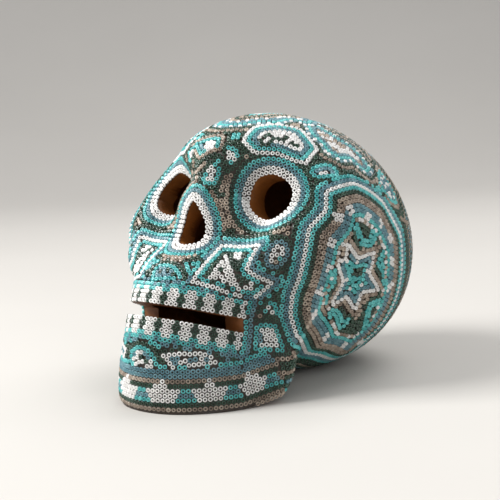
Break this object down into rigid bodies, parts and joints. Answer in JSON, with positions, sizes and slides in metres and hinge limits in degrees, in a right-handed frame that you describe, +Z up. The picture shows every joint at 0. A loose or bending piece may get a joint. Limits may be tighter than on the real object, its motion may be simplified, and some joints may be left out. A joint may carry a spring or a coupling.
{
  "type": "beaded skull ornament",
  "caption": "Hollow clay skull with open eyes, nose and a slit mouth, covered in rows of seed beads. It rests on its chin and the back of its head.",
  "frame": {"origin": "centre of the bounding box's underside, on the plane it stands on", "axes": "-Y is the way the face looks, +Z is up, X runs across the face"},
  "size_m": [0.1166, 0.1568, 0.1158],
  "materials": {
    "clay": "fired clay with a thin brown wax, satin",
    "bead_white": "pearly glass seed beads, glossy",
    "bead_turquoise": "turquoise glass seed beads, glossy",
    "bead_steel_blue": "grey-blue glass seed beads, glossy",
    "bead_dark_green": "dark green glass seed beads, glossy",
    "bead_taupe": "brown-grey lustre seed beads, glossy"
  },
  "bodies": {
    "root": {"skull_form": "clay"}
  },
  "joints": []
}
